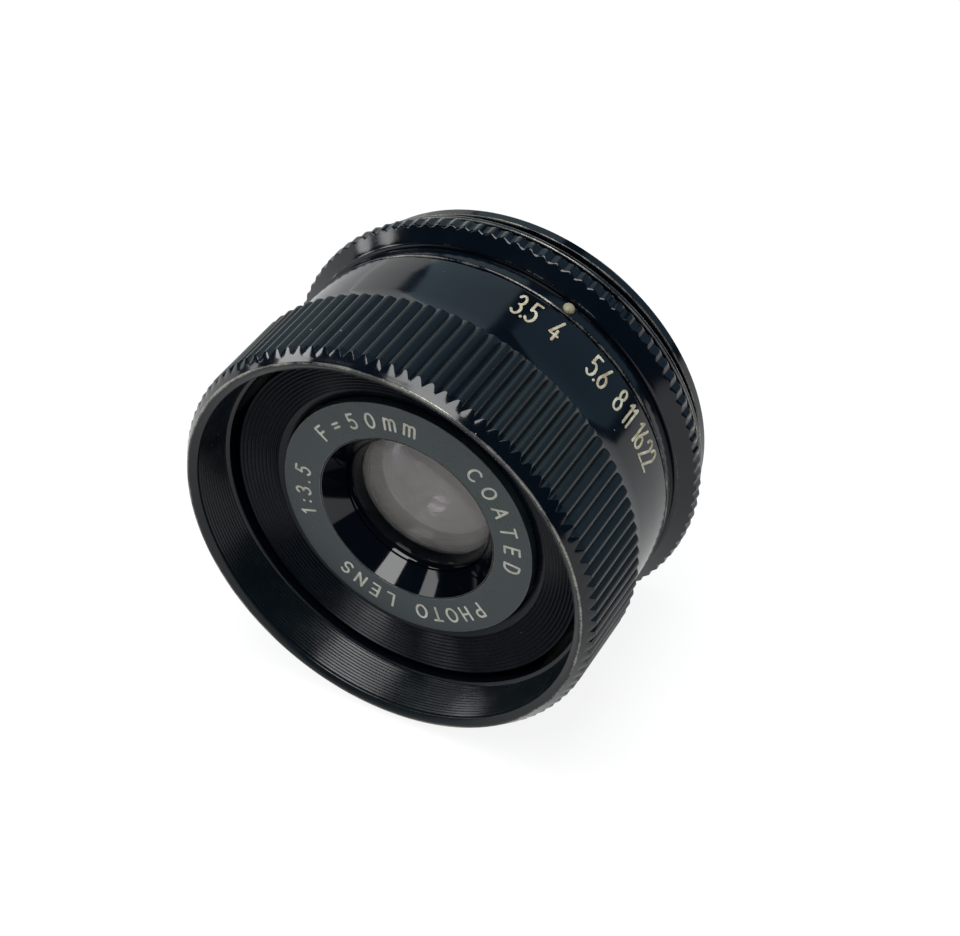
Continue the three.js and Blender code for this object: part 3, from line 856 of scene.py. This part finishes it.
def turned_metal(name, colour, roughness, specular=0.5, lines=0.3, grain=0.2, worn=1.0, dust=1.0,
                 metallic=0.0):
    """Anodised or bare turned metal, with lathe lines, rubbed edges, dust specks and an uneven sheen."""
    look = Look(name)
    cloud = look.noise(look.point, 0.28, 4.0, 0.6)
    fine = look.noise(look.point, 5.0, 3.0, 0.6)
    turning = look.noise(look.lathe, 9.0, 2.0, 0.6)
    edge = look.node("Attribute", attribute_name="wear").outputs["Fac"]
    rubbed = look.math("MULTIPLY_ADD", cloud, 1.5, look.math("MULTIPLY_ADD", fine, 0.7, edge))
    rub = look.math("MULTIPLY", look.ramp(rubbed, 1.85, 2.3), look.math("GREATER_THAN", edge, 0.05))
    rub = look.math("MULTIPLY", rub, worn)
    flecks = look.math("MULTIPLY", look.specks(0.55, 0.09, 0.35), dust)
    lighter = rgb(*(c * 1.35 for c in colour[:3]))
    shade = look.mix(look.ramp(cloud, 0.35, 0.65), colour, lighter)
    shade = look.mix(rub, shade, WORN_METAL)
    shade = look.mix(flecks, shade, DUST)
    sheen = look.math("MULTIPLY", roughness, look.ramp(cloud, 0.3, 0.7, 0.75, 1.3))
    sheen = look.math("MULTIPLY", sheen, look.ramp(turning, 0.3, 0.7, 0.85, 1.15))
    sheen = look.math("MAXIMUM", sheen, look.math("MULTIPLY", rub, 0.34))
    sheen = look.math("MAXIMUM", sheen, look.math("MULTIPLY", flecks, 0.8))
    relief = look.math("MULTIPLY_ADD", turning, lines, look.math("MULTIPLY", fine, grain))
    shader = look.node("BsdfPrincipled", {
        "Base Color": shade,
        "Roughness": sheen,
        "Metallic": look.math("MAXIMUM", look.math("MULTIPLY", rub, 0.75), metallic),
        "Specular IOR Level": specular,
        "Normal": look.bump(relief),
    })
    return look.output(shader.outputs[0])


def coated_glass(name, tint, haze, haze_colour):
    """Polished glass under a thin uneven haze, with the colour of an old coating."""
    look = Look(name)
    cloud = look.noise(look.point, 0.35, 4.0, 0.65)
    smear = look.noise(look.scaled(look.point, (1.0, 1.0, 2.2)), 0.9, 3.0, 0.6)
    flecks = look.specks(0.9, 0.07, 0.4)
    surface = look.node("BsdfPrincipled", {
        "Base Color": rgb(0.93, 0.9, 0.94),
        "Roughness": look.ramp(cloud, 0.3, 0.7, 0.02, 0.09),
        "Transmission Weight": 1.0,
        "IOR": 1.52,
        "Specular Tint": tint,
    })
    film = look.node("BsdfDiffuse", {"Color": haze_colour})
    uneven = look.ramp(look.math("ADD", cloud, smear), 0.75, 1.3, 0.7, 1.4)
    amount = look.math("MULTIPLY", uneven, haze)
    amount = look.math("MAXIMUM", amount, look.math("MULTIPLY", flecks, min(1.0, 2.5 * haze)))
    blend = look.node("MixShader", {0: amount, 1: surface.outputs[0], 2: film.outputs[0]})
    return look.output(blend.outputs[0])


def paint_fill(name, colour, edge_colour):
    """Glossy paint in engraving, yellower and dirtier in patches."""
    look = Look(name)
    cloud = look.noise(look.point, 0.9, 3.0, 0.6)
    fine = look.noise(look.point, 9.0, 2.0, 0.6)
    dirt = look.ramp(look.math("MULTIPLY_ADD", fine, 0.6, cloud), 0.62, 1.0)
    shader = look.node("BsdfPrincipled", {
        "Base Color": look.mix(dirt, colour, edge_colour),
        "Roughness": look.ramp(cloud, 0.3, 0.7, 0.35, 0.5),
        "Normal": look.bump(fine, 0.5),
    })
    return look.output(shader.outputs[0])


def floor_paper(name):
    """Paper that gives off more light to the camera than to the lens, for a nearly white background."""
    look = Look(name)
    fine = look.noise(look.point, 0.4, 3.0, 0.5)
    seen = look.node("LightPath").outputs["Is Camera Ray"]
    shader = look.node("BsdfPrincipled", {
        "Base Color": rgb(0.16, 0.16, 0.16),
        "Roughness": 0.7,
        "Specular IOR Level": 0.1,
        "Emission Color": rgb(1.0, 1.0, 1.0),
        "Emission Strength": look.ramp(seen, 0.0, 1.0, 0.60, 0.89),
        "Normal": look.bump(fine, 0.2, 0.02 * MM),
    })
    return look.output(shader.outputs[0])


black_anodised = turned_metal(
    "black_anodised_finish", rgb(0.0016, 0.0030, 0.0055), 0.11, lines=0.12, grain=0.06)
grip_black = turned_metal(
    "grip_finish", rgb(0.003, 0.006, 0.008), 0.30, lines=0.1, grain=0.3)
matt_black = turned_metal(
    "matt_black_finish", rgb(0.002, 0.004, 0.007), 0.28, specular=0.2, lines=0.2, worn=0.2, dust=0.4)
# Grooved wall in the aperture ring's mouth: its own roughness and a lower specular, and a base colour
# lifted above the plain anodising as painted light from the soft room light.
mouth_black_painted_light = turned_metal(
    "mouth_painted_light_finish", rgb(0.0035, 0.0065, 0.0085), 0.24, specular=0.4, lines=0.2, worn=0.3, dust=0.5)
inner_black = turned_metal(
    "inner_black_finish", rgb(0.003, 0.004, 0.006), 0.6, worn=0.0, dust=0.2)
face_grey = turned_metal(
    "name_ring_finish", rgb(0.024, 0.038, 0.041), 0.30, worn=0.3, dust=0.4)
gloss_black = turned_metal(
    "gloss_black_finish", rgb(0.0012, 0.0024, 0.0045), 0.06, lines=0.05, worn=0.25, dust=0.2, grain=0.03)
blade_steel = turned_metal(
    "blade_finish", rgb(0.03, 0.032, 0.038), 0.38, worn=0.0, dust=0.1, metallic=0.7)
bright_steel = turned_metal(
    "steel_finish", rgb(0.45, 0.45, 0.46), 0.3, worn=0.0, dust=0.1, metallic=1.0)
turned_brass = turned_metal(
    "brass_finish", rgb(0.55, 0.40, 0.17), 0.32, worn=0.0, dust=0.1, metallic=1.0)
ivory_fill = paint_fill("ivory_finish", rgb(0.72, 0.70, 0.55), rgb(0.36, 0.28, 0.15))
white_fill = paint_fill("white_finish", rgb(0.70, 0.71, 0.62), rgb(0.42, 0.42, 0.32))
pip_fill = paint_fill("pip_finish", rgb(0.42, 0.41, 0.28), rgb(0.16, 0.11, 0.05))
front_glass_look = coated_glass("front_glass_finish", rgb(1.0, 0.97, 0.90), 0.20, rgb(0.64, 0.62, 0.56))
inner_glass_look = coated_glass("inner_glass_finish", rgb(0.95, 0.92, 1.0), 0.04, rgb(0.6, 0.6, 0.6))
paper = floor_paper("paper_finish")

# ---------------------------------------------------------------- aperture control


def screw_hole():
    """Cutter for the drive screw's hole, which widens at its mouth."""
    bottom, neck, mouth, top = 19, 21.6, 21.9, 23
    radius, mouth_radius = 0.87, 1.1
    outline = [
        (0, bottom, 0),
        (radius, bottom, 0),
        (radius, neck, 0),
        (mouth_radius, mouth, 0),
        (mouth_radius, top, 0),
        (0, top, 0),
    ]
    return stand_out(turned("screw_hole", outline, 24), SCREW_ANGLE, SCREW_DEPTH)


def drive_screw():
    """Screw with a low head, and a slot across its end."""
    bottom, head, top = 14.95, 19.62, 21.4
    shank_radius, head_radius = 0.6, 0.8
    outline = section([
        (0, bottom),
        (shank_radius, bottom, 0.08),
        (shank_radius, head),
        (head_radius, head),
        (head_radius, top, 0.08),
        (0, top),
    ], 0.05)
    made = turned("grub_screw", outline, SMALL_SIDES)
    across = ((-0.14, -1), (0.14, -1), (0.14, 1), (-0.14, 1))
    corners = [(x, depth, z) for depth in (20.95, 22) for x, z in across]
    ends = [(0, 1, 2, 3), (7, 6, 5, 4)]
    sides = [(k, k + 4, (k + 1) % 4 + 4, (k + 1) % 4) for k in range(4)]
    carve(made, 32, finish_mesh("screw_slot", corners, ends + sides, 30))
    return stand_out(made, SCREW_ANGLE, SCREW_DEPTH)


def on_scale(centre_angle):
    """Wraps flat lettering round the scale band, with its tops towards the mount."""
    def surface(u, v, height):
        angle = math.radians(centre_angle) - u / SCALE_RADIUS
        radius = SCALE_RADIUS + height
        return radius * math.cos(angle), NUMERAL_BASE + v, radius * math.sin(angle)
    return surface


def joined(name, parts):
    """One mesh from several, keeping their attributes."""
    main = parts[0]
    chosen = {"active_object": main, "selected_editable_objects": parts, "selected_objects": parts}
    with bpy.context.temp_override(**chosen):
        bpy.ops.object.join()
    main.name = name
    return main


def in_mouth(radius, depth):
    return radius < RIM_RADIUS - 0.3 and depth < MOUTH_BACK


def on_grip(radius, depth):
    return radius > SCALE_RADIUS + 0.1 and GRIP_START < depth < GRIP_END


def scale_numerals():
    numerals = []
    for text, angle in STOP_ANGLES.items():
        strokes = text_strokes(text, NUMERAL_HEIGHT, NUMERAL_SQUEEZE, NUMERAL_GAP)
        numerals.append(lettering("numeral", strokes, NUMERAL_STROKE, NUMERAL_RAISE, on_scale(angle)))
    return joined("scale_numerals", numerals)


ring = turned("grip_and_scale_ring", aperture_ring_outline(), 8 * GRIP_RIBS, 60)
carve(ring, 60, screw_hole())
place(ring, "aperture_control", "black_anodised", black_anodised, "aperture_ring")
# The mouth's wall takes the lighter copy of the anodising, whose raised base colour is painted light.
refinish(ring, mouth_black_painted_light, in_mouth)
refinish(ring, grip_black, on_grip)
place(drive_screw(), "aperture_control", "bright_steel", bright_steel, "drive_screw")
place(scale_numerals(), "aperture_control", "ivory_fill", ivory_fill)

# ---------------------------------------------------------------- barrel


def bead_socket():
    """Cutter for the socket that holds the index bead."""
    radius, bottom, top = 0.72, 20.3, 23
    outline = [(0, bottom, 0), (radius, bottom, 0), (radius, top, 0), (0, top, 0)]
    return stand_out(turned("pip_socket", outline, SMALL_SIDES), INDEX_ANGLE, BEAD_DEPTH)


def index_bead():
    """Round-topped pip."""
    bottom, shoulder, dome_base, dome_rise, dome_steps = 20.6, 21.45, 21.47, 0.42, 10
    outline = [(0, bottom, 0), (BEAD_RADIUS, bottom, 0), (BEAD_RADIUS, shoulder, 0)]
    for i in range(1, dome_steps):
        turn = math.radians(90 * i / dome_steps)
        outline.append((BEAD_RADIUS * math.cos(turn), dome_base + dome_rise * math.sin(turn), 0))
    outline.append((0, dome_base + dome_rise, 0))
    return stand_out(turned("index_pip", outline, SMALL_SIDES), INDEX_ANGLE, BEAD_DEPTH)


def on_name_ring(centre_angle):
    """Lays a flat letter on the name ring, with its top outward."""
    turn = math.radians(centre_angle)
    outward = Vector((math.cos(turn), math.sin(turn)))
    onward = Vector((math.sin(turn), -math.cos(turn)))

    def surface(u, v, height):
        point = outward * (NAME_RADIUS + v - NAME_HEIGHT / 2) + onward * u
        return point.x, NAME_FRONT - height, point.y
    return surface


def name_lettering():
    letters = []
    for text, first_angle, step in NAME_TEXTS:
        for i, character in enumerate(text):
            if character == " ":
                continue
            strokes = text_strokes(character, NAME_HEIGHT, 1.0, 0)
            surface = on_name_ring(first_angle + step * i)
            letters.append(lettering("letter", strokes, NAME_STROKE, NAME_RAISE, surface))
    return joined("name_lettering", letters)


barrel = turned("barrel_body", main_barrel_outline(), 6 * FLANGE_TEETH, 50)
window = ring_sector("screw_window", (16, 20), WINDOW_ANGLES, (15.6, 17.3))
carve(barrel, 50, window, bead_socket())
place(barrel, "barrel", "black_anodised", black_anodised, "main_barrel")
place(index_bead(), "barrel", "ivory_fill", pip_fill, "index_bead")

# Each plain turned piece: name, outline, slot, finish and CAD node.
front_pieces = [
    ("housing_face", front_housing_outline(), "matt_black", matt_black, "front_housing"),
    ("lettered_ring", name_ring_outline(), "engraved_face", face_grey, "name_ring"),
    ("cell_mouth", front_cell_outline(), "gloss_black", gloss_black, "front_cell"),
    ("glass_bezel", bezel_outline(), "gloss_black", gloss_black, "front_bezel_ring"),
]
rear_pieces = [
    ("rear_glass_cell", rear_cell_outline(), "matt_black", matt_black, "rear_cell"),
    ("rear_glass_ring", rear_retainer_outline(), "matt_black", matt_black, "rear_retainer"),
]
# Each glass: name, front depth, thickness, radius, curves of both faces, edge of the curve, finish
# and CAD node.
glasses = [
    ("front_glass", 8.45, 2.65, 8.0, (19, None), 8.0, front_glass_look, "front_element"),
    ("middle_glass", 12.6, 1.0, 7.6, (-35, 17), 6.2, inner_glass_look, "middle_element"),
    ("rear_glass", 20.4, 3.4, 7.0, (60, -15.5), 7.0, front_glass_look, "rear_element"),
]
for name, outline, slot, finish, node in front_pieces:
    place(turned(name, outline), "barrel", slot, finish, node)
for name, front, thickness, radius, curves, flat, finish, node in glasses:
    glass = turned(name, lens_outline(front, thickness, radius, curves, flat), GLASS_SIDES)
    place(glass, "barrel", "coated_glass", finish, node)
for name, outline, slot, finish, node in rear_pieces:
    place(turned(name, outline), "barrel", slot, finish, node)
place(name_lettering(), "barrel", "ivory_fill", white_fill)

# ---------------------------------------------------------------- mount hardware and CAD pieces that stay

washer = turned("washer_ring", seat_washer_outline())
place(washer, "seat_washer", "black_anodised", black_anodised, "seat_washer")
nut = turned("lock_ring", jam_nut_outline())
place(nut, "jam_nut", "black_anodised", black_anodised, "jam_nut")

CAD_FINISHES = {
    "iris_housing": inner_black,
    "element_spacer": inner_black,
    "iris_snap_ring": bright_steel,
    "iris_drive_ring": turned_brass,
    **{f"iris_blade_{i}": blade_steel for i in range(1, 7)},
}
for node, finish in CAD_FINISHES.items():
    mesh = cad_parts[node].data
    mesh.materials.clear()
    mesh.materials.append(finish)

# ---------------------------------------------------------------- floor, light and camera

FLOOR_HALF = 3.0
CEILING = 1.0
FLOOR_SLOPE = (FLANGE_RADIUS - GRIP_RADIUS) / (TEETH_START - BEVEL_LENGTH)


def lay_floor():
    """Floor that touches the bevel's edge and the flange, as the lens lies on its side."""
    mesh = bpy.data.meshes.new("floor")
    corners = [(x * FLOOR_HALF, y * FLOOR_HALF, 0) for x, y in ((-1, -1), (1, -1), (1, 1), (-1, 1))]
    mesh.from_pydata(corners, [], [(0, 1, 2, 3)])
    mesh.materials.append(paper)
    floor = bpy.data.objects.new("floor", mesh)
    bpy.context.scene.collection.objects.link(floor)
    floor.location = (0, RIM_Y + BEVEL_LENGTH * MM, -GRIP_RADIUS * MM)
    floor.rotation_euler.x = -math.atan(FLOOR_SLOPE)


def panel(name, centre, size, radiance, aim=(0, 0, 0), colour=(1, 1, 1)):
    """Rectangular light of even radiance that faces a point."""
    light = bpy.data.lights.new(name, "AREA")
    light.shape = "RECTANGLE"
    light.size, light.size_y = size
    light.energy = radiance * math.pi * size[0] * size[1]
    light.color = colour
    lamp = bpy.data.objects.new(name, light)
    bpy.context.scene.collection.objects.link(lamp)
    lamp.location = centre
    lamp.rotation_euler = (Vector(centre) - Vector(aim)).to_track_quat("Z", "Y").to_euler()


def ceiling_panel(name, x, y, radiance):
    """Light on the ceiling that faces straight down, from its ranges of x and y."""
    centre = ((x[0] + x[1]) / 2, (y[0] + y[1]) / 2, CEILING)
    panel(name, centre, (x[1] - x[0], y[1] - y[0]), radiance, aim=(centre[0], centre[1], 0))


lay_floor()
ceiling_panel("window_overhead", (-0.32, 0.30), (-0.39, 0.25), 5.8)
ceiling_panel("window_front", (-0.12, 0.33), (-0.90, -0.39), 6.2)
ceiling_panel("window_left", (-2.7, -1.4), (-0.32, 0.27), 6.4)
ceiling_panel("window_left_front", (-1.34, -0.74), (-0.76, -0.36), 3.0)
panel("wall_left_front", (-1.5, -0.83, 0.36), (0.3, 0.16), 5.0)
panel("wall_left_low", (-1.6, -0.62, 0.11), (0.22, 0.16), 5.0)
panel("wall_left", (-1.6, 0.01, 0.22), (0.2, 0.12), 2.6)
panel("wall_left_back", (-1.1, 1.0, 0.22), (1.2, 0.66), 0.72, colour=(1.0, 1.0, 0.95))
panel("wall_back", (-0.42, 1.0, 0.9), (0.75, 1.1), 0.47, colour=(0.75, 1.0, 1.1))
panel("wall_right_back", (0.7, 1.0, 0.8), (1.0, 1.5), 0.23, colour=(0.6, 0.95, 1.2))

world = bpy.data.worlds.new("room")
world.use_nodes = True
world.node_tree.nodes["Background"].inputs[0].default_value = rgb(0.020, 0.036, 0.060)
bpy.context.scene.world = world

# EYE is the camera's place from the middle of the rim, in millimetres right, up and back of it as the
# camera sees it.
AZIMUTH = math.radians(28.2)
ELEVATION = math.radians(40.7)
EYE = (9.90, 8.29, 215.56)
FOCAL_LENGTH = 83.8
SENSOR_WIDTH = 36

right = Vector((math.cos(AZIMUTH), math.sin(AZIMUTH), 0))
level = math.cos(ELEVATION)
back = Vector((math.sin(AZIMUTH) * level, -math.cos(AZIMUTH) * level, math.sin(ELEVATION)))
up = back.cross(right)
eye = Vector((0, RIM_Y, 0)) + (right * EYE[0] + up * EYE[1] + back * EYE[2]) * MM
camera_data = bpy.data.cameras.new("camera")
camera_data.lens = FOCAL_LENGTH
camera_data.sensor_width = SENSOR_WIDTH
camera_data.clip_start = 0.01
camera_data.clip_end = 20
camera = bpy.data.objects.new("camera", camera_data)
bpy.context.scene.collection.objects.link(camera)
camera.matrix_world = Matrix.Translation(eye) @ Matrix((right, up, back)).transposed().to_4x4()
bpy.context.scene.camera = camera

bpy.context.scene.view_settings.view_transform = "Standard"
bpy.context.scene.view_settings.look = "None"
